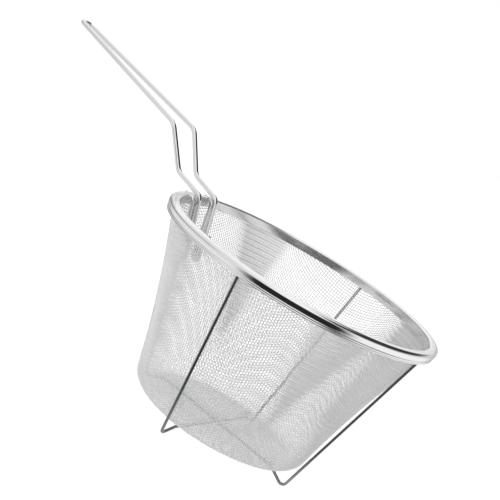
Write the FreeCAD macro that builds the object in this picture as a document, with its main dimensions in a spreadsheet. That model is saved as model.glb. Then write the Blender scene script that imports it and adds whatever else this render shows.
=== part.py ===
import FreeCAD, Part
import Sketcher
import math
import os
import re

# Deep fryer basket: a woven wire bowl hung in a rolled rim, standing on two crossed cradle wires, with one
# bent wire handle that is hooked over the rim.
#
# Frame: millimetres, +Z up, origin under the middle of the bowl on the plane that the feet stand on.
# The handle points along -X. One cradle wire runs along X, the other crosses under it along Y.

DRIVING_SIZES = [
    ("basket_height", 125.5, "from the feet to the crown of the rim"),
    ("seat_gap", 0.2, "left between pieces that are welded or pressed together"),
    ("rim_radius", 100.3, "outside of the rolled rim at its crown"),
    ("rim_width", 7.2, "of the crown of the rim, measured along the radius"),
    ("rim_tuck", 1.5, "how far the lip of the outer band lies inside the crown's edge"),
    ("rim_depth", 7.4, "of the outer band of the rim"),
    ("rim_skirt_depth", 6.4, "of the inner skirt of the rim"),
    ("rim_sheet", 0.7, "thickness of the rolled sheet"),
    ("rim_outer_round", 1.6, "radius of the crown at its outer side"),
    ("rim_inner_round", 1.2, "radius of the crown at its inner side"),
    ("rim_lip_round", 0.5, "radius at the lower lip of the outer band"),
    ("mesh_clearance", 0.25, "between the inner skirt and the mesh, level with the lip of the rim"),
    ("mesh_thickness", 0.9, "of the woven wall, two wires deep"),
    ("mesh_ridge", 0.4, "how far the hoops stand out of the ribs"),
    ("mesh_edge_gap", 0.3, "between the edge of the mesh and the hooks that pass over it"),
    ("collar_drop", 8.4, "from the crown to where the wall starts to taper"),
    ("floor_height", 7.5, "from the feet to the underside of the bowl"),
    ("floor_radius", 62.8, "of the bowl, where its wall and floor would meet in a sharp corner"),
    ("floor_corner", 10.7, "radius between wall and floor"),
    ("wall_hollow", 2.5, "depth of the slight inward curve of the wall"),
    ("lattice_columns", 20, "of gaps around the wall"),
    ("lattice_rows", 4, "of gaps up the wall"),
    ("hoop_width", 6.0, "of each hoop of the lattice"),
    ("rib_width", 6.0, "of each upright rib of the lattice"),
    ("floor_gap_outer", 48.0, "radius at which the outer gaps of the floor end"),
    ("floor_gap_inner", 32.5, "radius at which the outer gaps of the floor start"),
    ("middle_gap_outer", 27.0, "radius at which the inner gaps of the floor end"),
    ("middle_gap_inner", 13.0, "radius at which the inner gaps of the floor start"),
    ("cradle_diameter", 2.0, "of the wire of the cradle"),
    ("cradle_clearance", 0.3, "between a leg and the outer band of the rim"),
    ("cradle_insertion", 4.5, "of a leg inside the rim"),
    ("foot_radius", 64.0, "from the middle to the corner of each foot"),
    ("foot_bend", 3.6, "radius of the centre line at each foot"),
    ("base_half_length", 49.8, "of the straight run under the floor"),
    ("base_bend", 6.0, "radius of the centre line where the base starts"),
    ("long_skew_angle", -2.8, "degrees from the handle's line to the long cradle wire"),
    ("cross_skew_angle", -0.7, "degrees from square to the handle's line to the cross cradle wire"),
    ("cross_lean_angle", 3.0, "degrees that the cross cradle wire leans out of upright"),
    ("cross_shift", 1.5, "of the base of the cross cradle wire towards the handle"),
    ("handle_diameter", 3.6, "of the wire of the handle"),
    ("stem_foot_depth", 40.6, "from the crown to the corner at the foot of each stem"),
    ("stem_foot_half_gap", 9.0, "from the line of the handle to the foot of each stem"),
    ("foot_loop_gap", 0.8, "between each stem and its hook, where the wire turns back at their foot"),
    ("hook_foot_offset", 1.0, "sideways from the foot of each stem to the foot of its hook"),
    ("hook_offset", 2.0, "sideways from the top of each stem to the hook beside it"),
    ("hook_rise", 0.7, "how far each hook stands out of its notch in the crown"),
    ("hook_end_inset", 1.7, "from the outside of the crown to the cut end of each hook"),
    ("hook_bend", 3.2, "radius of the centre line where each hook turns over the mesh edge"),
    ("strip_gap", 0.3, "between the backing strip and the hooks, along the radius"),
    ("stem_top_setback", 5.6, "from the inside of the rim to the bend of each stem above it"),
    ("stem_top_rise", 2.0, "of that bend above the crown"),
    ("stem_top_half_gap", 11.7, "from the line of the handle to that bend"),
    ("stem_top_bend", 6.0, "radius of the centre line at that bend"),
    ("shoulder_reach", 10.3, "from the outside of the rim to the lower bend of the handle"),
    ("shoulder_rise", 7.7, "of that bend above the crown"),
    ("shoulder_half_gap", 12.3, "from the line of the handle to that bend"),
    ("shoulder_bend", 9.0, "radius of the centre line at that bend"),
    ("elbow_reach", 30.9, "from the outside of the rim to the upper bend of the handle"),
    ("elbow_rise", 33.9, "of that bend above the crown"),
    ("elbow_half_gap", 14.7, "from the line of the handle to that bend"),
    ("elbow_bend", 12.0, "radius of the centre line at that bend"),
    ("loop_reach", 143.2, "from the outside of the rim to the tip of the handle's loop"),
    ("loop_rise", 56.6, "of the tip above the crown"),
    ("loop_half_gap", 5.2, "from the line of the handle to each corner of the loop"),
    ("loop_bend", 4.5, "radius of the centre line at the tip of the loop"),
    ("strip_half_length", 26.0, "of the backing strip behind the hooks, across the handle's line"),
    ("strip_drop", 24.6, "from the crown to the upper edge of the backing strip"),
    ("strip_width", 6.0, "of the backing strip"),
    ("strip_sheet", 0.5, "thickness of the backing strip"),
]


def wall_radius(level):
    """The outside of the bowl's wall at a level, on a parabola between floor and collar, as a formula."""
    share = "((%s - floor_height) / wall_height)" % level
    taper = "(collar_radius - floor_radius) * " + share
    hollow = "4 * wall_hollow * %s * (1 - %s)" % (share, share)
    return "floor_radius + %s - %s" % (taper, hollow)


# Sizes that follow from the driving ones
DERIVED_SIZES = [
    ("rim_inner_radius", "rim_radius - rim_width"),
    ("rim_lip_radius", "rim_radius - rim_tuck"),
    ("rim_lip_level", "basket_height - rim_depth"),
    ("collar_radius", "rim_inner_radius + rim_sheet + mesh_clearance + mesh_thickness"),
    ("collar_level", "basket_height - collar_drop"),
    ("mesh_edge_radius", "rim_inner_radius + rim_sheet + seat_gap + mesh_thickness"),
    ("hook_crest_level", "basket_height + hook_rise - handle_diameter / 2"),
    ("mesh_top_level", "hook_crest_level - handle_diameter / 2 - mesh_edge_gap"),
    ("wall_height", "collar_level - floor_height"),
    ("lowest_hoop_level", "floor_height + floor_corner"),
    ("row_height", "(collar_level - lowest_hoop_level) / lattice_rows"),
    ("leg_top_level", "rim_lip_level + cradle_insertion"),
    ("band_radius", "rim_radius - rim_sheet - rim_tuck * (basket_height - leg_top_level) / rim_depth"),
    ("leg_radius", "band_radius - cradle_clearance - cradle_diameter / 2"),
    ("long_base_level", "floor_height - seat_gap - cradle_diameter / 2"),
    ("cross_base_level", "long_base_level - cradle_diameter - seat_gap"),
    ("hook_half_gap", "stem_top_half_gap + hook_offset"),
    ("hook_inner_reach", "sqrt((rim_inner_radius - seat_gap - handle_diameter / 2) ^ 2 - hook_half_gap ^ 2)"),
    ("hook_outer_reach", "sqrt((rim_radius - hook_end_inset) ^ 2 - hook_half_gap ^ 2)"),
    ("hook_bend_level", "hook_crest_level - hook_bend"),
    ("hook_foot_half_gap", "stem_foot_half_gap + hook_foot_offset"),
    ("stem_foot_level", "basket_height - stem_foot_depth"),
    ("strip_inset", "mesh_thickness + seat_gap"),
    ("strip_level", "basket_height - strip_drop - strip_width"),
    ("hook_strip_share", "(hook_crest_level - strip_level) / (hook_crest_level - stem_foot_level)"),
    ("hook_strip_half_gap", "hook_half_gap + (hook_foot_half_gap - hook_half_gap) * hook_strip_share"),
    ("strip_front_radius", wall_radius("strip_level") + " - strip_inset - strip_sheet"),
    ("hook_strip_radius", "strip_front_radius - strip_gap - handle_diameter / 2"),
    ("hook_strip_reach", "sqrt(hook_strip_radius ^ 2 - hook_strip_half_gap ^ 2)"),
    ("hook_foot_radius", wall_radius("stem_foot_level") + " - strip_inset - handle_diameter / 2"),
    ("hook_widest_reach", "sqrt(hook_foot_radius ^ 2 - hook_foot_half_gap ^ 2)"),
    ("hook_straight_reach", "hook_inner_reach - (hook_inner_reach - hook_strip_reach) / hook_strip_share"),
    ("hook_foot_reach", "min(hook_straight_reach; hook_widest_reach)"),
    ("stem_foot_reach", "hook_foot_reach - handle_diameter - foot_loop_gap"),
    ("foot_loop_bend", "handle_diameter / 2 + foot_loop_gap / 4"),
    ("stem_top_reach", "rim_inner_radius - stem_top_setback"),
]

PARTS_FOLDER = "parts"
SEATING_STEPS = 40

doc = FreeCAD.newDocument("FryerBasket")


def make_sheet():
    """The spreadsheet of driving sizes, and of those that follow from them."""
    sheet = doc.addObject("Spreadsheet::Sheet", "Sizes")
    rows = [(name, str(value), meaning) for name, value, meaning in DRIVING_SIZES]
    rows += [(name, "=" + formula, "follows from the sizes above") for name, formula in DERIVED_SIZES]
    for number, (name, content, meaning) in enumerate(rows, start=1):
        sheet.set("A%d" % number, name)
        sheet.set("B%d" % number, content)
        sheet.set("C%d" % number, meaning)
        sheet.setAlias("B%d" % number, name)
    doc.recompute()
    return sheet


sheet = make_sheet()
SIZE_NAMES = {name for name, *rest in DRIVING_SIZES + DERIVED_SIZES}


def value(formula):
    """The present value of a formula over named sizes."""
    return float(sheet.evalExpression(formula))


def bound(formula):
    """The same formula as an expression that another object can carry."""
    def prefixed(match):
        word = match.group(0)
        return "Sizes." + word if word in SIZE_NAMES else word
    return re.sub(r"[a-z_]+", prefixed, formula)


# Sketches: outlines and paths given by their corners, each bound to named sizes

def plane_of(body, role):
    """One of a body's own origin planes."""
    return [feature for feature in body.Origin.OriginFeatures if feature.Role == role][0]


def body_sketch(body, name, role):
    """A sketch on an origin plane of its body."""
    sketch = body.newObject("Sketcher::SketchObject", name)
    sketch.AttachmentSupport = [(plane_of(body, role), "")]
    sketch.MapMode = "FlatFace"
    return sketch


def bind(sketch, kind, references, formula):
    """Add a constraint whose value follows a formula."""
    index = sketch.addConstraint(Sketcher.Constraint(kind, *references, value(formula)))
    sketch.setExpression("Constraints[%d]" % index, bound(formula))


def place_point(sketch, geometry, position, across, up):
    """Hold a point of the sketch at two formulas, measured from the sketch's origin, or leave one free."""
    for kind, formula, axis in (("DistanceX", across, -2), ("DistanceY", up, -1)):
        if formula is None:
            continue
        if formula == "0":
            sketch.addConstraint(Sketcher.Constraint("PointOnObject", geometry, position, axis))
        elif value(formula) > 0:
            bind(sketch, kind, (-1, 1, geometry, position), formula)
        else:
            bind(sketch, kind, (geometry, position, -1, 1), "-(%s)" % formula)


def corner_arc(before, corner, after, radius):
    """Start, end, centre and turning sense of the arc that rounds a corner."""
    inwards = (before - corner).normalize()
    outwards = (after - corner).normalize()
    half = inwards.getAngle(outwards) / 2
    reach = radius / math.tan(half)
    centre = corner + (inwards + outwards).normalize() * (radius / math.sin(half))
    turns_left = (corner - before).cross(after - corner).z > 0
    return corner + inwards * reach, corner + outwards * reach, centre, turns_left


def seated_level(before, corner, after, radius, centre_level):
    """The level of a sharp corner, such that the arc that rounds it has its centre at a given level."""
    level = centre_level - radius
    for step in range(SEATING_STEPS):
        centre = corner_arc(before, FreeCAD.Vector(corner.x, level, 0), after, radius)[2]
        level += centre_level - centre.y
    return level


def draw(sketch, corners, closed=True, seats=None):
    """Straight runs between corners, rounded by tangent arcs where a corner has a radius.

    Each corner is (across, up, radius), all formulas, with a radius of None where it stays sharp. A corner
    in seats is held by the level that is given there for the centre of its arc, and its up is None.
    """
    seats = seats or {}
    points = [FreeCAD.Vector(value(across), 0 if up is None else value(up), 0) for across, up, radius in corners]
    for i, level in seats.items():
        points[i].y = seated_level(points[i - 1], points[i], points[i + 1], value(corners[i][2]), value(level))
    count = len(corners)
    ends = {}
    for i, (across, up, radius) in enumerate(corners):
        if radius is None:
            ends[i] = (points[i], points[i])
            continue
        start, finish, centre, turns_left = corner_arc(
            points[i - 1], points[i], points[(i + 1) % count], value(radius))
        circle = Part.Circle(centre, FreeCAD.Vector(0, 0, 1), value(radius))
        first, last = (start, finish) if turns_left else (finish, start)
        angles = [math.atan2(p.y - centre.y, p.x - centre.x) for p in (first, last)]
        arc = sketch.addGeometry(Part.ArcOfCircle(circle, *angles))
        mark = sketch.addGeometry(Part.Point(points[i]), True)
        ends[i] = (start, finish, arc, mark, turns_left)
    runs = []
    for i in range(count if closed else count - 1):
        runs.append(sketch.addGeometry(Part.LineSegment(ends[i][1], ends[(i + 1) % count][0])))
    for i, (across, up, radius) in enumerate(corners):
        run_in = runs[i - 1] if closed or i > 0 else None
        run_out = runs[i] if i < len(runs) else None
        if radius is None:
            if run_in is not None and run_out is not None:
                sketch.addConstraint(Sketcher.Constraint("Coincident", run_in, 2, run_out, 1))
            geometry, position = (run_in, 2) if run_in is not None else (run_out, 1)
            place_point(sketch, geometry, position, across, up)
            continue
        arc, mark, turns_left = ends[i][2:]
        first, last = (1, 2) if turns_left else (2, 1)
        sketch.addConstraint(Sketcher.Constraint("Tangent", run_in, 2, arc, first))
        sketch.addConstraint(Sketcher.Constraint("Tangent", arc, last, run_out, 1))
        bind(sketch, "Radius", (arc,), radius)
        sketch.addConstraint(Sketcher.Constraint("PointOnObject", mark, 1, run_in))
        sketch.addConstraint(Sketcher.Constraint("PointOnObject", mark, 1, run_out))
        if i in seats:
            place_point(sketch, mark, 1, across, None)
            place_point(sketch, arc, 3, None, seats[i])
        else:
            place_point(sketch, mark, 1, across, up)


# The rolled rim: a channel of thin sheet, open downwards, that takes the mesh edge and the legs

def make_rim():
    body = doc.addObject("PartDesign::Body", "RimBand")
    body.Label = "rim_band"

    outline = body_sketch(body, "RimOutline", "XZ_Plane")
    draw(outline, [
        ("rim_inner_radius", "rim_lip_level", None),
        ("rim_lip_radius", "rim_lip_level", "rim_lip_round"),
        ("rim_radius", "basket_height", "rim_outer_round"),
        ("rim_inner_radius", "basket_height", "rim_inner_round"),
    ])
    hoop = body.newObject("PartDesign::Revolution", "RimHoop")
    hoop.Profile = outline
    hoop.ReferenceAxis = (outline, ["V_Axis"])

    channel_outline = body_sketch(body, "RimChannelOutline", "XZ_Plane")
    draw(channel_outline, [
        ("rim_lip_radius - rim_tuck - rim_sheet", "rim_lip_level - rim_depth", None),
        ("rim_radius - rim_sheet - rim_tuck * rim_outer_round / rim_depth",
         "basket_height - rim_outer_round", None),
        ("rim_radius - rim_outer_round", "basket_height - rim_sheet", None),
        ("rim_inner_radius + rim_inner_round", "basket_height - rim_sheet", None),
        ("rim_inner_radius + rim_sheet", "basket_height - rim_inner_round", None),
        ("rim_inner_radius + rim_sheet", "basket_height - rim_skirt_depth", None),
        ("rim_inner_radius - rim_width", "basket_height - rim_skirt_depth", None),
        ("rim_inner_radius - rim_width", "rim_lip_level - rim_depth", None),
    ])
    channel = body.newObject("PartDesign::Groove", "RimChannel")
    channel.Profile = channel_outline
    channel.ReferenceAxis = (channel_outline, ["V_Axis"])

    # the hooks of the handle lie in two notches across the crown
    notch_outline = body_sketch(body, "HookNotchOutline", "XZ_Plane")
    notch_outline.setExpression("AttachmentOffset.Base.z", bound("hook_half_gap"))
    draw(notch_outline, [
        ("-hook_outer_reach - seat_gap", "hook_bend_level", None),
        ("-hook_inner_reach", "hook_bend_level", None),
        ("-hook_inner_reach", "basket_height + rim_depth", None),
        ("-hook_outer_reach - seat_gap", "basket_height + rim_depth", None),
    ])
    notch = body.newObject("PartDesign::Pocket", "HookNotch")
    notch.Profile = notch_outline
    notch.setExpression("Length", bound("handle_diameter + 2 * seat_gap"))
    notch.Midplane = True
    notches = body.newObject("PartDesign::Mirrored", "HookNotches")
    notches.Originals = [notch]
    notches.MirrorPlane = (plane_of(body, "XZ_Plane"), [""])
    body.Tip = notches
    return body


# The bowl: one woven sheet, drawn as ridged hoops across upright ribs, with a gap in each field between them

UPRIGHT = FreeCAD.Placement(FreeCAD.Vector(), FreeCAD.Rotation(FreeCAD.Vector(1, 0, 0), 90))


def turned(name, sketch):
    """The solid that an outline sweeps about the upright axis."""
    solid = doc.addObject("Part::Revolution", name)
    solid.Source = sketch
    solid.Axis = (0, 0, 1)
    solid.Base = (0, 0, 0)
    solid.Angle = 360
    solid.Solid = True
    return solid


def upright_sketch(name, loops):
    """A sketch in the plane of the upright axis, with one closed outline for each list of corners."""
    sketch = doc.addObject("Sketcher::SketchObject", name)
    sketch.Placement = UPRIGHT
    for corners in loops:
        draw(sketch, corners)
    return sketch


def hoop_level(row):
    """The level of the middle of a hoop, counted from the foot of the wall."""
    return "lowest_hoop_level + %d * row_height" % row


def filled_bowl(name, inset):
    """The bowl as if it were solid, with its surface moved inwards from the outside of the mesh."""
    wall = [("%s - (%s)" % (wall_radius("(%s)" % hoop_level(row)), inset), hoop_level(row), None)
            for row in range(1, int(value("lattice_rows")))]
    corners = [
        ("0", "floor_height + (%s)" % inset, None),
        ("floor_radius - (%s)" % inset, "floor_height + (%s)" % inset, "floor_corner - (%s)" % inset),
        *wall,
        ("collar_radius - (%s)" % inset, "collar_level", None),
        ("mesh_edge_radius - (%s)" % inset, "mesh_top_level", None),
        ("0", "mesh_top_level", None),
    ]
    return turned(name, upright_sketch(name + "Outline", [corners]))


def combined(kind, name, **links):
    """A boolean of the Part workbench."""
    boolean = doc.addObject("Part::" + kind, name)
    for link, target in links.items():
        setattr(boolean, link, target)
    return boolean


def ring(inner, outer, low, high):
    """The corners of a ring of rectangular section."""
    return [(inner, low, None), (outer, low, None), (outer, high, None), (inner, high, None)]


def floor_ring(inner, outer):
    """A ring through the floor of the bowl."""
    return ring(inner, outer, "floor_height / 2", "floor_height + 2 * mesh_thickness")


def make_rows():
    """Full rings at the rows of gaps, between the hoops of the wall and across the floor."""
    rings = []
    for row in range(int(value("lattice_rows"))):
        low = hoop_level(row) + " + hoop_width / 2"
        high = hoop_level(row + 1) + " - hoop_width / 2"
        rings.append(ring("floor_gap_outer", "rim_radius", low, high))
    rings.append(floor_ring("floor_gap_inner", "floor_gap_outer"))
    return turned("Rows", upright_sketch("RowOutline", rings))


def make_ribs(name, count):
    """Upright blades from the middle outwards, one beside each column of gaps."""
    body = doc.addObject("PartDesign::Body", name)
    outline = body_sketch(body, name + "Outline", "XY_Plane")
    draw(outline, [
        ("0", "-rib_width / 2", None),
        ("rim_radius", "-rib_width / 2", None),
        ("rim_radius", "rib_width / 2", None),
        ("0", "rib_width / 2", None),
    ])
    blade = body.newObject("PartDesign::Pad", name + "Blade")
    blade.Profile = outline
    blade.setExpression("Length", bound("basket_height"))
    pattern = body.newObject("PartDesign::PolarPattern", name + "Round")
    pattern.Originals = [blade]
    pattern.Axis = (plane_of(body, "Z_Axis"), [""])
    pattern.Angle = 360
    pattern.setExpression("Occurrences", bound(count))
    body.Tip = pattern
    return body


def make_bowl():
    """The closed wall, thinned outside between the hoops and cut through between the ribs."""
    whole_wall = combined("Cut", "WholeWall", Base=filled_bowl("BowlOutside", "0"),
                          Tool=filled_bowl("BowlInside", "mesh_thickness"))
    rows = make_rows()
    thinning = combined("Cut", "Thinning", Base=rows, Tool=filled_bowl("BowlBehindRidge", "mesh_ridge"))
    gaps = combined("Cut", "Gaps", Base=rows, Tool=make_ribs("Ribs", "lattice_columns"))
    middle_row = turned("MiddleRow", upright_sketch("MiddleRowOutline", [
        floor_ring("middle_gap_inner", "middle_gap_outer")]))
    middle_gaps = combined("Cut", "MiddleGaps", Base=middle_row,
                           Tool=make_ribs("MiddleRibs", "floor(lattice_columns / 2)"))
    thinned_wall = combined("Cut", "ThinnedWall", Base=whole_wall, Tool=thinning)
    open_wall = combined("Cut", "OpenWall", Base=thinned_wall, Tool=gaps)
    bowl = combined("Cut", "MeshBowl", Base=open_wall, Tool=middle_gaps)
    bowl.Label = "mesh_bowl"
    return bowl


# The cradle: two wires, each up both sides of the bowl and straight across under its floor

def make_cradle_wire(name, label, base_level, shift, yaw, lean):
    """One cradle wire, as a half that is mirrored. Its own frame has its origin in the middle of the base.

    The bends at its feet are seated on the ground, whatever its lean.
    """
    body = doc.addObject("PartDesign::Body", name)
    body.Label = label

    route = body_sketch(body, name + "Route", "XZ_Plane")
    draw(route, [
        ("0", "0", None),
        ("base_half_length", "0", "base_bend"),
        ("foot_radius", None, "foot_bend"),
        ("leg_radius", "leg_top_level - " + base_level, None),
    ], closed=False, seats={2: "foot_bend - (%s - cradle_diameter / 2) / cos(%s)" % (base_level, lean)})

    section = body_sketch(body, name + "Section", "YZ_Plane")
    circle = section.addGeometry(Part.Circle(
        FreeCAD.Vector(), FreeCAD.Vector(0, 0, 1), value("cradle_diameter / 2")))
    section.addConstraint(Sketcher.Constraint("Coincident", circle, 3, -1, 1))
    bind(section, "Radius", (circle,), "cradle_diameter / 2")

    half = body.newObject("PartDesign::AdditivePipe", name + "Half")
    half.Profile = section
    half.Spine = route
    whole = body.newObject("PartDesign::Mirrored", name + "Whole")
    whole.Originals = [half]
    whole.MirrorPlane = (plane_of(body, "YZ_Plane"), [""])
    body.Tip = whole

    turn = "rotation(%s; 0; %s)" % (yaw, lean)
    body.setExpression("Placement", bound("placement(vector(-%s; 0; %s); %s)" % (shift, base_level, turn)))
    return body


# The handle: one wire from hook to hook, through both stems and the loop

def bent_wire(corners, diameter):
    """A round wire with straight runs between its corners, and a tangent arc at each inner corner.

    Each corner is (point, radius of the centre line), with a radius of 0 at the two cut ends.
    """
    radius = diameter / 2
    pieces = []
    run_start = corners[0][0]
    for i in range(1, len(corners)):
        corner, bend = corners[i]
        incoming = (corner - corners[i - 1][0]).normalize()
        reach = 0.0
        if bend:
            outgoing = (corners[i + 1][0] - corner).normalize()
            turn = incoming.getAngle(outgoing)
            reach = bend * math.tan(turn / 2)
        run_end = corner - incoming * reach
        pieces.append(Part.makeCylinder(radius, (run_end - run_start).Length, run_start, incoming))
        if bend:
            axis = incoming.cross(outgoing).normalize()
            centre = run_end + axis.cross(incoming) * bend
            section = Part.Face(Part.Wire(Part.makeCircle(radius, run_end, incoming)))
            pieces.append(section.revolve(centre, axis, math.degrees(turn)))
            run_start = corner + outgoing * reach
    return pieces[0].multiFuse(pieces[1:]).removeSplitter()


def handle_side(side):
    """The corners of one side of the handle, from the cut end of its hook to its corner of the loop."""
    def at(reach, half_gap, level):
        return FreeCAD.Vector(-value(reach), side * value(half_gap), value(level))

    foot_bend = value("foot_loop_bend")
    return [
        (at("hook_outer_reach", "hook_half_gap", "hook_crest_level"), 0),
        (at("hook_inner_reach", "hook_half_gap", "hook_crest_level"), value("hook_bend")),
        (at("hook_foot_reach", "hook_foot_half_gap", "stem_foot_level"), foot_bend),
        (at("stem_foot_reach", "stem_foot_half_gap", "stem_foot_level"), foot_bend),
        (at("stem_top_reach", "stem_top_half_gap", "basket_height + stem_top_rise"), value("stem_top_bend")),
        (at("rim_radius + shoulder_reach", "shoulder_half_gap", "basket_height + shoulder_rise"),
         value("shoulder_bend")),
        (at("rim_radius + elbow_reach", "elbow_half_gap", "basket_height + elbow_rise"), value("elbow_bend")),
        (at("rim_radius + loop_reach", "loop_half_gap", "basket_height + loop_rise"), value("loop_bend")),
    ]


def make_handle():
    handle = doc.addObject("Part::Feature", "WireHandle")
    handle.Label = "wire_handle"
    handle.Shape = bent_wire(handle_side(1) + handle_side(-1)[::-1], value("handle_diameter"))
    return handle


# The backing strip: a thin curved strip between the hooks and the mesh

def make_backing_strip():
    behind = filled_bowl("StripBack", "strip_inset")
    front = filled_bowl("StripFront", "strip_inset + strip_sheet")
    sheet_round = combined("Cut", "StripSheet", Base=behind, Tool=front)
    window = doc.addObject("Part::Box", "StripWindow")
    window.setExpression("Length", bound("rim_radius"))
    window.setExpression("Width", bound("2 * strip_half_length"))
    window.setExpression("Height", bound("strip_width"))
    window.setExpression("Placement.Base.x", bound("-rim_radius"))
    window.setExpression("Placement.Base.y", bound("-strip_half_length"))
    window.setExpression("Placement.Base.z", bound("strip_level"))
    strip = combined("Common", "BackingStrip", Base=sheet_round, Tool=window)
    strip.Label = "handle_backing_strip"
    return strip


def check(pieces):
    """Stop with a plain message if anything in the document failed, or a piece has no sound solid."""
    for thing in doc.Objects:
        if "Invalid" in thing.State or "Error" in thing.State:
            raise RuntimeError("%s failed: %s" % (thing.Label, thing.State))
    for piece in pieces:
        shape = piece.Shape
        if shape.isNull() or not shape.isValid() or not shape.Solids:
            raise RuntimeError("%s has no sound solid" % piece.Label)


def main():
    pieces = [
        make_rim(),
        make_bowl(),
        make_cradle_wire("LongCradleWire", "long_cradle_wire", "long_base_level",
                         "0", "long_skew_angle", "0"),
        make_cradle_wire("CrossCradleWire", "cross_cradle_wire", "cross_base_level",
                         "cross_shift", "90 + cross_skew_angle", "cross_lean_angle"),
        make_handle(),
        make_backing_strip(),
    ]
    doc.recompute()
    check(pieces)
    os.makedirs(PARTS_FOLDER, exist_ok=True)
    for piece in pieces:
        piece.Shape.exportStep(os.path.join(PARTS_FOLDER, piece.Label + ".step"))


main()
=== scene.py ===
import math

import bmesh
import bpy
import numpy as np
from bpy.props import FloatProperty, IntProperty, PointerProperty, StringProperty
from mathutils import Matrix, Vector


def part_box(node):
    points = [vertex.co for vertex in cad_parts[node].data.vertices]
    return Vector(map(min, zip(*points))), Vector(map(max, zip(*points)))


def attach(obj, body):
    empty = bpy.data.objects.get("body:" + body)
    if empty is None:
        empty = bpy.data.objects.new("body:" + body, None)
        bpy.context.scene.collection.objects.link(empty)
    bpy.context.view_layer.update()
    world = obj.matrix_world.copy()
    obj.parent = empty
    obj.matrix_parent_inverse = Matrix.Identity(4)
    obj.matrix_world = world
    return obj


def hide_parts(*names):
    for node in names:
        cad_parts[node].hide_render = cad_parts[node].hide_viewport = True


bl_info = {
    "name": "Deep fryer basket",
    "version": (1, 0, 0),
    "blender": (4, 5, 0),
    "location": "View3D > Sidebar > Basket",
    "description": "Weaves the mesh of a fryer basket and finishes its wires and rim",
    "category": "Object",
}

# Metres, +Z up, origin under the middle of the bowl, handle along -X.
MM = 0.001
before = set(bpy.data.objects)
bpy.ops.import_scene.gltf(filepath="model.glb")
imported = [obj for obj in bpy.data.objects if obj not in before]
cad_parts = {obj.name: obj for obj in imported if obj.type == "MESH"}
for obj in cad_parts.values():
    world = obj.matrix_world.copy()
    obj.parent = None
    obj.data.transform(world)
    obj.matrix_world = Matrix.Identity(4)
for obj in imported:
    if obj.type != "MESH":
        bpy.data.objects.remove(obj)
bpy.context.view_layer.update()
BOWL_LOW, BOWL_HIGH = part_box("mesh_bowl")
RIM_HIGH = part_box("rim_band")[1]
RIM_TOP = RIM_HIGH.z
BOWL_MIDDLE = (0.0, 0.0, RIM_TOP / 2)


# Sizes and colours that a user would change

class WeaveSizes(bpy.types.PropertyGroup):
    pitch: FloatProperty(
        name="Pitch", description="From wire to wire of the flat sheet before it was pressed",
        default=2.0 * MM, unit="LENGTH", subtype="DISTANCE")
    wire_diameter: FloatProperty(
        name="Wire", description="Diameter of the mesh wire",
        default=0.46 * MM, unit="LENGTH", subtype="DISTANCE")
    sheet_depth: FloatProperty(
        name="Depth", description="From the outside of the woven sheet to its middle",
        default=0.48 * MM, unit="LENGTH", subtype="DISTANCE")
    floor_radius: FloatProperty(
        name="Floor radius", description="Where wall and floor would meet in a sharp corner",
        default=62.8 * MM, unit="LENGTH", subtype="DISTANCE")
    corner_radius: FloatProperty(
        name="Corner radius", description="Between wall and floor",
        default=10.7 * MM, unit="LENGTH", subtype="DISTANCE")
    wall_hollow: FloatProperty(
        name="Hollow", description="Depth of the slight inward curve of the wall",
        default=2.5 * MM, unit="LENGTH", subtype="DISTANCE")
    collar_drop: FloatProperty(
        name="Collar drop", description="From the crown of the rim to where the wall starts to taper",
        default=8.4 * MM, unit="LENGTH", subtype="DISTANCE")


class RimSizes(bpy.types.PropertyGroup):
    inner_radius: FloatProperty(
        name="Inner radius", description="Of the inner skirt",
        default=93.1 * MM, unit="LENGTH", subtype="DISTANCE")
    skirt_depth: FloatProperty(
        name="Skirt", description="Depth of the inner skirt",
        default=6.4 * MM, unit="LENGTH", subtype="DISTANCE")
    sheet: FloatProperty(
        name="Sheet", description="Thickness of the sheet",
        default=0.6 * MM, unit="LENGTH", subtype="DISTANCE")
    inner_round: FloatProperty(
        name="Inner round", description="Radius between skirt and crown",
        default=1.2 * MM, unit="LENGTH", subtype="DISTANCE")
    roll_width: FloatProperty(
        name="Roll width", description="Of the round outer edge, along the radius",
        default=2.7 * MM, unit="LENGTH", subtype="DISTANCE")
    roll_depth: FloatProperty(
        name="Roll depth", description="From the crown to the widest line of the roll",
        default=2.3 * MM, unit="LENGTH", subtype="DISTANCE")
    roll_end: FloatProperty(
        name="Roll end", description="From the crown to the neck under the roll",
        default=5.1 * MM, unit="LENGTH", subtype="DISTANCE")
    neck_inset: FloatProperty(
        name="Neck inset", description="From the widest line of the roll in to the neck",
        default=1.25 * MM, unit="LENGTH", subtype="DISTANCE")
    lip_height: FloatProperty(
        name="Lip height", description="Of each of the two lines pressed into the lip",
        default=1.15 * MM, unit="LENGTH", subtype="DISTANCE")
    lip_rise: FloatProperty(
        name="Lip rise", description="How far the pressed lines stand out",
        default=0.35 * MM, unit="LENGTH", subtype="DISTANCE")
    turns: IntProperty(
        name="Turns", description="Steps of the profile round the rim", default=240, min=24)


class FinishColours(bpy.types.PropertyGroup):
    plated_wire: StringProperty(
        name="Plated wire", description="Nickel-plated wire of the handle, sRGB", default="#F0F0F1")
    # The cradle wire's darker grey is painted shade, standing in for its dark reflections and the shade
    # between cradle and mesh.
    cradle_wire: StringProperty(
        name="Cradle wire", description="Cradle wire darkened as painted shade, sRGB", default="#939496")
    mesh_wire: StringProperty(
        name="Mesh wire", description="Galvanised wire of the weave, sRGB", default="#F0F0F1")
    rim_sheet: StringProperty(
        name="Rim sheet", description="Bright plated sheet of the rim, sRGB", default="#F4F4F5")
    strip_sheet: StringProperty(
        name="Strip", description="Plain sheet of the backing strip, sRGB", default="#8E8D8C")


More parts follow.
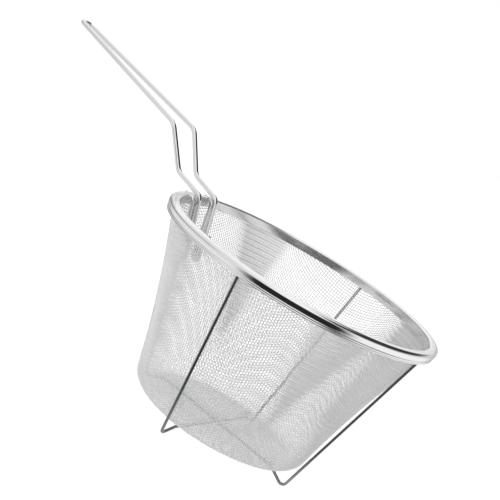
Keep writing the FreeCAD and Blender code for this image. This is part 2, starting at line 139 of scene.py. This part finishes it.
class StudioSettings(bpy.types.PropertyGroup):
    azimuth: FloatProperty(
        name="Azimuth", description="Of the camera, from the front",
        default=math.radians(24.0), unit="ROTATION", subtype="ANGLE")
    elevation: FloatProperty(
        name="Elevation", description="Of the camera, above the horizon",
        default=math.radians(10.74), unit="ROTATION", subtype="ANGLE")
    roll: FloatProperty(
        name="Roll", description="Of the camera about its line of sight",
        default=math.radians(30.36), unit="ROTATION", subtype="ANGLE")
    distance: FloatProperty(
        name="Distance", description="From the camera to the plane through the middle of the rim",
        default=795.92 * MM, unit="LENGTH", subtype="DISTANCE")
    aim_across: FloatProperty(
        name="Aim across", description="Middle of the rim, right of the line of sight",
        default=36.12 * MM, unit="LENGTH", subtype="DISTANCE")
    aim_up: FloatProperty(
        name="Aim up", description="Middle of the rim, above the line of sight",
        default=-13.1 * MM, unit="LENGTH", subtype="DISTANCE")
    lens: FloatProperty(
        name="Lens", description="Focal length in millimetres on a 36 mm sensor", default=88.35)
    room_level: FloatProperty(
        name="Room", description="Brightness of the light from all around", default=0.72)
    floor_glow: FloatProperty(
        name="Floor glow", description="What the camera's view of the floor gains over its own shade",
        default=0.6)


# Small helpers

def linear(hex_colour):
    """An sRGB hex colour as linear red, green, blue and alpha."""
    channels = [int(hex_colour[i:i + 2], 16) / 255 for i in (1, 3, 5)]
    return [c / 12.92 if c <= 0.04045 else ((c + 0.055) / 1.055) ** 2.4 for c in channels] + [1.0]


def add_node(tree, kind, inputs=None, links=None, **settings):
    """A node with its settings, its socket values and its incoming links."""
    node = tree.nodes.new(kind)
    for name, content in settings.items():
        setattr(node, name, content)
    for name, content in (inputs or {}).items():
        node.inputs[name].default_value = content
    for name, source in (links or {}).items():
        tree.links.new(source, node.inputs[name])
    return node


def new_material(name):
    """An empty node material and its tree."""
    material = bpy.data.materials.new(name)
    material.use_nodes = True
    material.node_tree.nodes.clear()
    return material, material.node_tree


def add_piece(name, mesh, material):
    """An object in the scene that shows a mesh in one material."""
    mesh.materials.clear()
    mesh.materials.append(material)
    piece = bpy.data.objects.new(name, mesh)
    bpy.context.collection.objects.link(piece)
    return piece


def smooth_piece(name, shape, material, sharp_angle):
    """A piece made from a bmesh, which is freed. All is smooth but edges sharper than an angle."""
    for face in shape.faces:
        face.smooth = True
    for edge in shape.edges:
        edge.smooth = len(edge.link_faces) == 2 and edge.calc_face_angle(math.pi) < sharp_angle
    mesh = bpy.data.meshes.new(name)
    shape.to_mesh(mesh)
    shape.free()
    return add_piece(name, mesh, material)


# Materials. Each metal changes in soft patches and carries a grain. Real die and roller lines are some
# hundredths of a millimetre wide, so each grain is drawn as coarse as it needs to show.
PATCH_SIZE = 25 * MM
PATCH_DETAIL = 2.0
GRAIN_DETAIL = 3.0
GRAIN_STRENGTH = 0.3
SMOOTHEST_SHARE = 0.75
ROUGHEST_SHARE = 1.35


def finish_metal(name, hex_colour, roughness, grain_mm, colour_change, bump_mm,
                 grain_stretch=(1, 1, 1), metallic=1.0):
    """A metal whose colour varies in soft patches, and roughness and surface with a fine grain."""
    material, tree = new_material(name)
    place = add_node(tree, "ShaderNodeTexCoord")
    grain_place = add_node(tree, "ShaderNodeMapping", {"Scale": grain_stretch},
                           {"Vector": place.outputs["Object"]})
    grain = add_node(tree, "ShaderNodeTexNoise", {"Scale": 1 / (grain_mm * MM), "Detail": GRAIN_DETAIL},
                     {"Vector": grain_place.outputs["Vector"]})
    patches = add_node(tree, "ShaderNodeTexNoise", {"Scale": 1 / PATCH_SIZE, "Detail": PATCH_DETAIL},
                       {"Vector": place.outputs["Object"]})
    bright = linear(hex_colour)
    dark = [c * (1 - colour_change) for c in bright[:3]] + [1.0]
    colour = add_node(tree, "ShaderNodeMix", data_type="RGBA")
    tree.links.new(patches.outputs["Fac"], colour.inputs["Factor"])
    colour.inputs["A"].default_value = dark
    colour.inputs["B"].default_value = bright
    rough = add_node(tree, "ShaderNodeMapRange",
                     {"To Min": roughness * SMOOTHEST_SHARE, "To Max": roughness * ROUGHEST_SHARE},
                     {"Value": grain.outputs["Fac"]})
    bump = add_node(tree, "ShaderNodeBump", {"Strength": GRAIN_STRENGTH, "Distance": bump_mm * MM},
                    {"Height": grain.outputs["Fac"]})
    shader = add_node(tree, "ShaderNodeBsdfPrincipled", {"Metallic": metallic},
                      {"Base Color": colour.outputs["Result"], "Roughness": rough.outputs["Result"],
                       "Normal": bump.outputs["Normal"]})
    add_node(tree, "ShaderNodeOutputMaterial", links={"Surface": shader.outputs["BSDF"]})
    return material


def drawn_nickel_wire(colours):
    """Nickel-plated drawn steel wire: bright, with faint lines left by the die."""
    return finish_metal("drawn_nickel_plated_wire", colours.plated_wire,
                        roughness=0.1, grain_mm=0.5, colour_change=0.08, bump_mm=0.004)


def cradle_wire_in_painted_shade(colours):
    """Drawn steel wire, darker and softer than the handle. Its darker grey is painted shade: it stands
    in for the dark reflections and the shade that the cradle wires take against the mesh.
    """
    return finish_metal("cradle_wire_painted_dark", colours.cradle_wire,
                        roughness=0.24, grain_mm=0.5, colour_change=0.12, bump_mm=0.004)


def fine_mesh_wire(colours):
    """Thin galvanised wire of the weave: duller, with grey patches from the plating bath. Its zinc
    has a thin matt skin, so it is only partly metallic and takes the lamps' light as well."""
    return finish_metal("galvanised_mesh_wire", colours.mesh_wire,
                        roughness=0.33, grain_mm=0.4, colour_change=0.1, bump_mm=0.01, metallic=0.45)


def rolled_rim_sheet(colours):
    """Plated sheet rolled to a rim: mirror bright, softly marked by the rollers."""
    return finish_metal("rolled_plated_sheet", colours.rim_sheet,
                        roughness=0.13, grain_mm=0.8, colour_change=0.06, bump_mm=0.003,
                        grain_stretch=(1, 1, 3))


def plain_strip_sheet(colours):
    """Uncoated strip steel: matt grey with a rolled grain."""
    return finish_metal("plain_rolled_strip", colours.strip_sheet,
                        roughness=0.38, grain_mm=0.3, colour_change=0.2, bump_mm=0.01,
                        grain_stretch=(1, 1, 4))


# The weave: a flat sheet of square mesh, pressed into the bowl without stretching its wires
CORNER_STEPS = 12
WALL_STEPS = 80
# The mesh's top edge lies this far in from its collar, inside the rim.
TOP_EDGE_INSET = 0.05 * MM
# A point closer to the floor's middle than this counts as the middle. A normal is taken across twice
# the normal step.
AT_MIDDLE = 1e-9
NORMAL_STEP = 0.5 * MM
# The search for a crossing: its most rounds, its step in metres, and the miss in square metres that
# ends it
SEARCH_ROUNDS = 12
SEARCH_STEP = 1e-6
SEARCH_MISS = 1e-12
# A mesh wire has four sides and none added. Smooth shading rounds it.
ADDED_SIDES = 0


def bowl_profile(sizes):
    """Radius and height of the middle of the mesh, against the distance from the floor's middle."""
    inset = sizes.sheet_depth
    floor_level = BOWL_LOW.z + inset
    collar_level = RIM_TOP - sizes.collar_drop
    collar_radius = BOWL_HIGH.x - inset
    foot_radius = sizes.floor_radius - inset
    corner = sizes.corner_radius - inset
    height = collar_level - BOWL_LOW.z

    def wall_radius(level):
        share = (level - BOWL_LOW.z) / height
        hollow = 4 * sizes.wall_hollow * share * (1 - share)
        return foot_radius + (collar_radius - foot_radius) * share - hollow

    rise = math.atan2(corner, wall_radius(floor_level + corner) - wall_radius(floor_level))
    reach = corner * math.tan(rise / 2)
    bend = [(foot_radius - reach + corner * math.sin(a), floor_level + corner * (1 - math.cos(a)))
            for a in np.linspace(0, rise, CORNER_STEPS)]
    levels = np.linspace(bend[-1][1], collar_level, WALL_STEPS)[1:]
    shift = bend[-1][0] - wall_radius(bend[-1][1])
    fade = [1 - i / (len(levels) - 1) for i in range(len(levels))]
    wall = [(wall_radius(z) + shift * f, z) for z, f in zip(levels, fade)]
    top_edge = [(collar_radius - TOP_EDGE_INSET, BOWL_HIGH.z)]
    points = np.array([(0.0, floor_level)] + bend + wall + top_edge)
    runs = np.hypot(*np.diff(points, axis=0).T)
    return np.concatenate([[0.0], np.cumsum(runs)]), points[:, 0], points[:, 1]


class Bowl:
    """The middle surface of the mesh, addressed by flat coordinates whose length is the distance
    from the floor's middle along the surface."""

    def __init__(self, sizes):
        self.reach, self.radii, self.levels = bowl_profile(sizes)

    def point(self, u, v):
        """The place in space of flat coordinates."""
        along = math.hypot(u, v)
        if along < AT_MIDDLE:
            return np.array([0.0, 0.0, self.levels[0]])
        radius = np.interp(along, self.reach, self.radii)
        level = np.interp(along, self.reach, self.levels)
        return np.array([radius * u / along, radius * v / along, level])

    def outward(self, u, v):
        """The normal that points out of the bowl."""
        along = math.hypot(u, v)
        if along < AT_MIDDLE:
            return np.array([0.0, 0.0, -1.0])
        low, high = max(along - NORMAL_STEP, 0.0), along + NORMAL_STEP
        across = np.interp(high, self.reach, self.radii) - np.interp(low, self.reach, self.radii)
        up = np.interp(high, self.reach, self.levels) - np.interp(low, self.reach, self.levels)
        length = math.hypot(across, up)
        return np.array([up * u / along, up * v / along, -across]) / length

    def fourth_corner(self, behind, beside, pitch, guess):
        """Flat coordinates of the point one pitch away from two known crossings."""
        u, v = guess
        for _ in range(SEARCH_ROUNDS):
            here = self.point(u, v)
            miss = np.array([(here - p) @ (here - p) - pitch ** 2 for p in (behind, beside)])
            if np.abs(miss).max() < SEARCH_MISS:
                break
            du = (self.point(u + SEARCH_STEP, v) - here) / SEARCH_STEP
            dv = (self.point(u, v + SEARCH_STEP) - here) / SEARCH_STEP
            slope = np.array([[2 * (here - p) @ du, 2 * (here - p) @ dv] for p in (behind, beside)])
            change = np.linalg.lstsq(slope, -miss, rcond=None)[0]
            u += change[0]
            v += change[1]
        return u, v


def crossings(bowl, pitch):
    """Flat coordinates of every crossing of one quarter of the net. Two wires lie on the meridians."""
    count = int(bowl.reach[-1] / pitch)
    flat = {(i, 0): (i * pitch, 0.0) for i in range(count + 1)}
    flat.update({(0, j): (0.0, j * pitch) for j in range(count + 1)})
    solid = {key: bowl.point(*place) for key, place in flat.items()}
    for i in range(1, count + 1):
        for j in range(1, count + 1):
            if (i - 1, j) not in flat or (i, j - 1) not in flat:
                break
            before, beside, inner = flat[i - 1, j], flat[i, j - 1], flat[i - 1, j - 1]
            guess = (before[0] + beside[0] - inner[0], before[1] + beside[1] - inner[1])
            place = bowl.fourth_corner(solid[i - 1, j], solid[i, j - 1], pitch, guess)
            if math.hypot(*place) > bowl.reach[-1]:
                break
            flat[i, j] = place
            solid[i, j] = bowl.point(*place)
    return flat


def wire_runs(bowl, sizes, flat, lengthwise):
    """One list of points for each wire of one direction, passing over and under the crossing wires."""
    wave = sizes.wire_diameter / 2
    count = max(i for i, _ in flat)
    runs = []
    for line in range(-count, count + 1):
        run = []
        for step in range(-count, count + 1):
            i, j = (step, line) if lengthwise else (line, step)
            if (abs(i), abs(j)) not in flat:
                continue
            u, v = flat[abs(i), abs(j)]
            u, v = math.copysign(u, i), math.copysign(v, j)
            side = 1 if (i + j) % 2 == lengthwise else -1
            run.append(bowl.point(u, v) + bowl.outward(u, v) * side * wave)
        if len(run) > 1:
            runs.append(run)
    return runs


def wires_from(name, runs, diameter, material):
    """A mesh of smooth wires along lists of points."""
    curve = bpy.data.curves.new(name, "CURVE")
    curve.dimensions = "3D"
    curve.bevel_depth = diameter / 2
    curve.bevel_resolution = ADDED_SIDES
    curve.use_fill_caps = True
    for run in runs:
        spline = curve.splines.new("POLY")
        spline.points.add(len(run) - 1)
        for point, place in zip(spline.points, run):
            point.co = (*place, 1.0)
    holder = bpy.data.objects.new(name + "_route", curve)
    mesh = bpy.data.meshes.new_from_object(holder)
    bpy.data.objects.remove(holder)
    bpy.data.curves.remove(curve)
    mesh.name = name
    mesh.polygons.foreach_set("use_smooth", [True] * len(mesh.polygons))
    return add_piece(name, mesh, material)


# Cradle wires, handle and strip: smooth copies of the CAD meshes
DOUBLES_DISTANCE = 0.002 * MM
WIRE_SHARP_ANGLE = math.radians(35)


def smooth_copy(node, name, material):
    """A CAD node's mesh with its doubles merged and its curved faces smooth."""
    shape = bmesh.new()
    shape.from_mesh(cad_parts[node].data)
    bmesh.ops.remove_doubles(shape, verts=shape.verts, dist=DOUBLES_DISTANCE)
    piece = smooth_piece(name, shape, material, WIRE_SHARP_ANGLE)
    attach(piece, "root")
    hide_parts(node)
    return piece


# The rim: one sheet, bent over the edge of the mesh and pressed against it from both sides
RIM_SHARP_ANGLE = math.radians(50)
INNER_ROUND_STEPS = 7
ROLL_STEPS = 10
NECK_STEPS = 9
# How far the skirt's edge is rounded off, inwards and upwards, in sheets
EDGE_ROUND_IN = 0.1
EDGE_ROUND_UP = 0.3
# How far the sheet's hidden side lies behind the roll's widest line, in sheets
ROLL_BACK = 1.6
# The section of a line pressed into the lip, from its top down: shares of its rise and of its height
PRESSED_LINES = 2
PRESSED_LINE = ((0.25, 0.12), (0.7, 0.38), (1.0, 0.62), (0.8, 0.8), (0.2, 0.96))


def arc(middle, across, up, start, end, steps):
    """Points of an ellipse's arc, from one angle to another."""
    return [(middle[0] + across * math.cos(a), middle[1] + up * math.sin(a))
            for a in np.linspace(start, end, steps)]


def rim_outline(rim):
    """Radius and height of the points round the sheet's section: its seen side, then its back."""
    outer = RIM_HIGH.x
    quarter = math.pi / 2
    skirt_end = RIM_TOP - rim.skirt_depth
    roll_level = RIM_TOP - rim.roll_depth
    neck_radius = outer - rim.neck_inset
    neck_level = RIM_TOP - rim.roll_end
    inner_middle = (rim.inner_radius + rim.inner_round, RIM_TOP - rim.inner_round)
    roll_middle = (outer - rim.roll_width, roll_level)
    neck_middle = (neck_radius, roll_level)
    under_roll = rim.roll_end - rim.roll_depth
    seen = [(rim.inner_radius + EDGE_ROUND_IN * rim.sheet, skirt_end),
            (rim.inner_radius, skirt_end + EDGE_ROUND_UP * rim.sheet)]
    seen += arc(inner_middle, rim.inner_round, rim.inner_round, 2 * quarter, quarter, INNER_ROUND_STEPS)
    seen += arc(roll_middle, rim.roll_width, rim.roll_depth, quarter, 0, ROLL_STEPS)
    seen += arc(neck_middle, rim.neck_inset, under_roll, 0, -quarter, NECK_STEPS)[1:]
    for line in range(PRESSED_LINES):
        top = neck_level - line * rim.lip_height
        seen += [(neck_radius + rim.lip_rise * rise, top - rim.lip_height * depth)
                 for rise, depth in PRESSED_LINE]
    back = [(neck_radius - rim.sheet, seen[-1][1]),
            (neck_radius - rim.sheet, neck_level),
            (outer - rim.sheet * ROLL_BACK, roll_level),
            (outer - rim.roll_width, RIM_TOP - rim.sheet),
            (rim.inner_radius + rim.inner_round, RIM_TOP - rim.sheet),
            (rim.inner_radius + rim.sheet, RIM_TOP - rim.inner_round),
            (rim.inner_radius + rim.sheet, skirt_end)]
    return seen + back


def spun_ring(name, outline, turns, material):
    """A closed outline turned once round the Z axis."""
    ring = bmesh.new()
    corners = [ring.verts.new((radius, 0.0, level)) for radius, level in outline]
    edges = [ring.edges.new((corners[i - 1], corners[i])) for i in range(len(corners))]
    bmesh.ops.spin(ring, geom=corners + edges, cent=(0, 0, 0), axis=(0, 0, 1), angle=2 * math.pi,
                   steps=turns, use_merge=True)
    bmesh.ops.recalc_face_normals(ring, faces=ring.faces)
    return smooth_piece(name, ring, material, RIM_SHARP_ANGLE)


# Operators, one for each piece or group of like pieces

class OBJECT_OT_basket_mesh(bpy.types.Operator):
    """Weave the mesh of the bowl"""
    bl_idname = "object.basket_mesh"
    bl_label = "Woven mesh"

    def execute(self, context):
        sizes = context.scene.basket_weave
        material = fine_mesh_wire(context.scene.basket_finish)
        bowl = Bowl(sizes)
        flat = crossings(bowl, sizes.pitch)
        for lengthwise, direction in ((True, "lengthwise"), (False, "crosswise")):
            runs = wire_runs(bowl, sizes, flat, lengthwise)
            middle = len(runs) // 2
            for part, half in (("a", runs[:middle]), ("b", runs[middle:])):
                name = "mesh_wires_%s_%s" % (direction, part)
                piece = wires_from(name, half, sizes.wire_diameter, material)
                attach(piece, "root")
                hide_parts("mesh_bowl")
        return {"FINISHED"}


class OBJECT_OT_basket_rim(bpy.types.Operator):
    """Finish the rolled rim"""
    bl_idname = "object.basket_rim"
    bl_label = "Rolled rim"

    def execute(self, context):
        rim = context.scene.basket_rim
        sheet = rolled_rim_sheet(context.scene.basket_finish)
        piece = spun_ring("rolled_rim", rim_outline(rim), rim.turns, sheet)
        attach(piece, "root")
        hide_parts("rim_band")
        return {"FINISHED"}


class OBJECT_OT_basket_wires(bpy.types.Operator):
    """Finish the cradle wires and the handle"""
    bl_idname = "object.basket_wires"
    bl_label = "Cradle and handle wires"

    def execute(self, context):
        colours = context.scene.basket_finish
        # The cradle wires get a darker grey that is painted shade.
        plain = cradle_wire_in_painted_shade(colours)
        for node in ("long_cradle_wire", "cross_cradle_wire"):
            smooth_copy(node, "drawn_" + node, plain)
        handle = smooth_copy("wire_handle", "plated_wire_handle", drawn_nickel_wire(colours))
        return {"FINISHED"}


class OBJECT_OT_basket_strip(bpy.types.Operator):
    """Finish the strip behind the hooks"""
    bl_idname = "object.basket_strip"
    bl_label = "Backing strip"

    def execute(self, context):
        piece = smooth_copy("handle_backing_strip", "hook_backing_strip",
                            plain_strip_sheet(context.scene.basket_finish))
        return {"FINISHED"}


class SCENE_OT_basket_studio(bpy.types.Operator):
    """Set up floor, backdrop, lights and camera"""
    bl_idname = "scene.basket_studio"
    bl_label = "Studio"

    def execute(self, context):
        scene = context.scene
        scene.view_settings.view_transform = "Standard"
        settings = scene.basket_studio
        place_camera(scene, settings)
        lay_floor(scene, settings)
        light_world(scene, settings)
        hang_lights(scene)
        return {"FINISHED"}


# The studio
WHITE = (1.0, 1.0, 1.0, 1.0)
PAPER = (0.8, 0.8, 0.8, 1.0)
# In metres, from the floor's middle to its edge
FLOOR_REACH = 6.0
# The camera was fitted to the circle round the rim's outer edge, which lies this far below the crown.
RIM_CIRCLE_DROP = 0.57 * MM
# The camera's sensor in millimetres and its near limit in metres
SENSOR_WIDTH = 36.0
NEAR_LIMIT = 0.05
# Soft lamps: place and width in metres, and power in watts. All shine at one point in the bowl.
LAMPS = (
    ("overhead", (0.2, 0.3, 1.6), 1.6, 1.5),
    ("left", (-1.4, -0.9, 0.9), 0.6, 2.0),
    ("front", (0.4, -1.5, 0.2), 0.4, 11.0),
)
LAMP_TARGET = Vector((0.0, 0.0, 0.06))
# Soft panels that metal mirrors in place of plain white. All but the last value are in degrees: the
# turn from the camera's azimuth and half the width, the elevation and half the height, and the
# softness of the edges. The last is the share of white that is left.
PANELS = (
    ("dark front", 4, 40, -16, 23, 20, 0.02),
    ("dark right", 98, 66, 42, 24, 18, 0.04),
    ("left horizon", -115, 48, 8, 7, 12, 0.3),
    ("right horizon", 95, 75, 8, 4, 8, 0.6),
    ("grey left", -80, 60, 22, 40, 30, 0.8),
    ("grey back", 180, 45, -18, 22, 24, 0.5),
)


def camera_axes(settings):
    """The camera's right, up and backward directions, turned by its roll."""
    az, el = settings.azimuth, settings.elevation
    back = Vector((math.sin(az) * math.cos(el), -math.cos(az) * math.cos(el), math.sin(el)))
    right = Vector((math.cos(az), math.sin(az), 0.0))
    up = back.cross(right)
    c, s = math.cos(settings.roll), math.sin(settings.roll)
    return right * c + up * s, up * c - right * s, back


def place_camera(scene, settings):
    """The camera, at the photograph's angle to the rim."""
    right, up, back = camera_axes(settings)
    rim_middle = Vector((0.0, 0.0, RIM_TOP - RIM_CIRCLE_DROP))
    place = rim_middle - right * settings.aim_across - up * settings.aim_up + back * settings.distance
    camera = bpy.data.cameras.new("camera")
    camera.lens = settings.lens
    camera.sensor_width = SENSOR_WIDTH
    camera.clip_start = NEAR_LIMIT
    holder = bpy.data.objects.new("camera", camera)
    holder.matrix_world = Matrix.Translation(place) @ Matrix((right, up, back)).transposed().to_4x4()
    scene.collection.objects.link(holder)
    scene.camera = holder


def even_inside(tree, angle, middle, half, soft):
    """1 where an angle is within half a width of its middle, and 0 past a soft edge. The last three
    are in degrees."""
    off = add_node(tree, "ShaderNodeMath", {1: math.radians(middle)}, {0: angle}, operation="SUBTRACT")
    size = add_node(tree, "ShaderNodeMath", {}, {0: off.outputs["Value"]}, operation="ABSOLUTE")
    edge = add_node(tree, "ShaderNodeMapRange",
                    {"From Min": math.radians(half + soft / 2),
                     "From Max": math.radians(half - soft / 2)},
                    {"Value": size.outputs["Value"]}, interpolation_type="SMOOTHSTEP")
    return edge.outputs["Result"]


def light_past_panels(tree, direction, settings):
    """The share of white that metal mirrors from a direction, past the panels."""
    parts = add_node(tree, "ShaderNodeSeparateXYZ", {}, {0: direction})
    elevation = add_node(tree, "ShaderNodeMath", {}, {0: parts.outputs["Z"]}, operation="ARCSINE")
    left = None
    for _, turn, half_width, rise, half_height, soft, level in PANELS:
        azimuth = settings.azimuth + math.radians(turn)
        ahead = add_node(tree, "ShaderNodeVectorMath", {1: (math.sin(azimuth), -math.cos(azimuth), 0)},
                         {0: direction}, operation="DOT_PRODUCT")
        aside = add_node(tree, "ShaderNodeVectorMath", {1: (math.cos(azimuth), math.sin(azimuth), 0)},
                         {0: direction}, operation="DOT_PRODUCT")
        turned = add_node(tree, "ShaderNodeMath", {},
                          {0: aside.outputs["Value"], 1: ahead.outputs["Value"]}, operation="ARCTAN2")
        across = even_inside(tree, turned.outputs["Value"], 0, half_width, soft)
        upright = even_inside(tree, elevation.outputs["Value"], rise, half_height, soft)
        cover = add_node(tree, "ShaderNodeMath", {}, {0: across, 1: upright}, operation="MULTIPLY")
        share = add_node(tree, "ShaderNodeMapRange", {"To Min": 1.0, "To Max": level},
                         {"Value": cover.outputs["Value"]}).outputs["Result"]
        if left is not None:
            share = add_node(tree, "ShaderNodeMath", {}, {0: left, 1: share},
                             operation="MULTIPLY").outputs["Value"]
        left = share
    return left


def lay_floor(scene, settings):
    """A pale floor that looks white and still takes the object's shadow. Metal mirrors it as white
    too, apart from the panels."""
    sheet = bmesh.new()
    bmesh.ops.create_grid(sheet, x_segments=1, y_segments=1, size=FLOOR_REACH)
    mesh = bpy.data.meshes.new("floor")
    sheet.to_mesh(mesh)
    sheet.free()
    material, tree = new_material("white_studio_paper")
    path = add_node(tree, "ShaderNodeLightPath")
    place = add_node(tree, "ShaderNodeNewGeometry")
    from_middle = add_node(tree, "ShaderNodeVectorMath", {1: BOWL_MIDDLE},
                           {0: place.outputs["Position"]}, operation="SUBTRACT")
    direction = add_node(tree, "ShaderNodeVectorMath", {}, {0: from_middle.outputs["Vector"]},
                         operation="NORMALIZE")
    mirrored = light_past_panels(tree, direction.outputs["Vector"], settings)
    seen = add_node(tree, "ShaderNodeMath", {1: settings.floor_glow},
                    {0: path.outputs["Is Camera Ray"]}, operation="MULTIPLY")
    paper = add_node(tree, "ShaderNodeBsdfDiffuse", {"Color": PAPER})
    glow = add_node(tree, "ShaderNodeEmission", {"Color": WHITE}, {"Strength": seen.outputs["Value"]})
    lit = add_node(tree, "ShaderNodeAddShader")
    tree.links.new(paper.outputs["BSDF"], lit.inputs[0])
    tree.links.new(glow.outputs["Emission"], lit.inputs[1])
    mirror = add_node(tree, "ShaderNodeEmission", {"Color": WHITE}, {"Strength": mirrored})
    either = add_node(tree, "ShaderNodeMixShader", {}, {0: path.outputs["Is Glossy Ray"]})
    tree.links.new(lit.outputs["Shader"], either.inputs[1])
    tree.links.new(mirror.outputs["Emission"], either.inputs[2])
    add_node(tree, "ShaderNodeOutputMaterial", links={"Surface": either.outputs["Shader"]})
    mesh.materials.append(material)
    floor = bpy.data.objects.new("floor", mesh)
    scene.collection.objects.link(floor)


def light_world(scene, settings):
    """White to the camera, white past the panels to metal, and a plain level as light."""
    world = bpy.data.worlds.new("studio")
    scene.world = world
    world.use_nodes = True
    tree = world.node_tree
    tree.nodes.clear()
    path = add_node(tree, "ShaderNodeLightPath")
    place = add_node(tree, "ShaderNodeTexCoord")
    mirrored = light_past_panels(tree, place.outputs["Generated"], settings)
    seen = add_node(tree, "ShaderNodeMath", {},
                    {0: path.outputs["Is Camera Ray"], 1: path.outputs["Is Transmission Ray"]},
                    operation="MAXIMUM")
    plain = add_node(tree, "ShaderNodeMapRange", {"To Min": settings.room_level, "To Max": 1.0},
                     {"Value": seen.outputs["Value"]})
    level = add_node(tree, "ShaderNodeMix", data_type="FLOAT")
    tree.links.new(path.outputs["Is Glossy Ray"], level.inputs["Factor"])
    tree.links.new(plain.outputs["Result"], level.inputs["A"])
    tree.links.new(mirrored, level.inputs["B"])
    back = add_node(tree, "ShaderNodeBackground", {"Color": WHITE},
                    {"Strength": level.outputs["Result"]})
    add_node(tree, "ShaderNodeOutputWorld", links={"Surface": back.outputs["Background"]})


def hang_lights(scene):
    """A wide soft box above, a smaller one at the left and a low fill from the front. Metal mirrors
    none of them."""
    for name, place, width, power in LAMPS:
        lamp = bpy.data.lights.new(name, "AREA")
        lamp.size = width
        lamp.energy = power
        holder = bpy.data.objects.new(name, lamp)
        holder.location = place
        holder.visible_glossy = False
        holder.rotation_mode = "QUATERNION"
        holder.rotation_quaternion = (Vector(place) - LAMP_TARGET).to_track_quat("Z", "Y")
        scene.collection.objects.link(holder)


class VIEW3D_PT_basket(bpy.types.Panel):
    """The basket's steps in the sidebar"""
    bl_label = "Fryer basket"
    bl_idname = "VIEW3D_PT_basket"
    bl_space_type = "VIEW_3D"
    bl_region_type = "UI"
    bl_category = "Basket"

    def draw(self, context):
        for group in ("basket_weave", "basket_rim", "basket_finish", "basket_studio"):
            settings = getattr(context.scene, group)
            for name in settings.bl_rna.properties.keys():
                if name not in ("rna_type", "name"):
                    self.layout.prop(settings, name)
        for step in STEPS:
            self.layout.operator(step)


STEPS = (
    "object.basket_mesh",
    "object.basket_rim",
    "object.basket_wires",
    "object.basket_strip",
    "scene.basket_studio",
)

CLASSES = (
    WeaveSizes,
    RimSizes,
    FinishColours,
    StudioSettings,
    OBJECT_OT_basket_mesh,
    OBJECT_OT_basket_rim,
    OBJECT_OT_basket_wires,
    OBJECT_OT_basket_strip,
    SCENE_OT_basket_studio,
    VIEW3D_PT_basket,
)


def register():
    for cls in CLASSES:
        bpy.utils.register_class(cls)
    bpy.types.Scene.basket_weave = PointerProperty(type=WeaveSizes)
    bpy.types.Scene.basket_rim = PointerProperty(type=RimSizes)
    bpy.types.Scene.basket_finish = PointerProperty(type=FinishColours)
    bpy.types.Scene.basket_studio = PointerProperty(type=StudioSettings)


def unregister():
    del bpy.types.Scene.basket_studio
    del bpy.types.Scene.basket_finish
    del bpy.types.Scene.basket_rim
    del bpy.types.Scene.basket_weave
    for cls in reversed(CLASSES):
        bpy.utils.unregister_class(cls)


def main():
    register()
    bpy.ops.object.basket_mesh()
    bpy.ops.object.basket_rim()
    bpy.ops.object.basket_wires()
    bpy.ops.object.basket_strip()
    bpy.ops.scene.basket_studio()


if __name__ == "__main__":
    main()
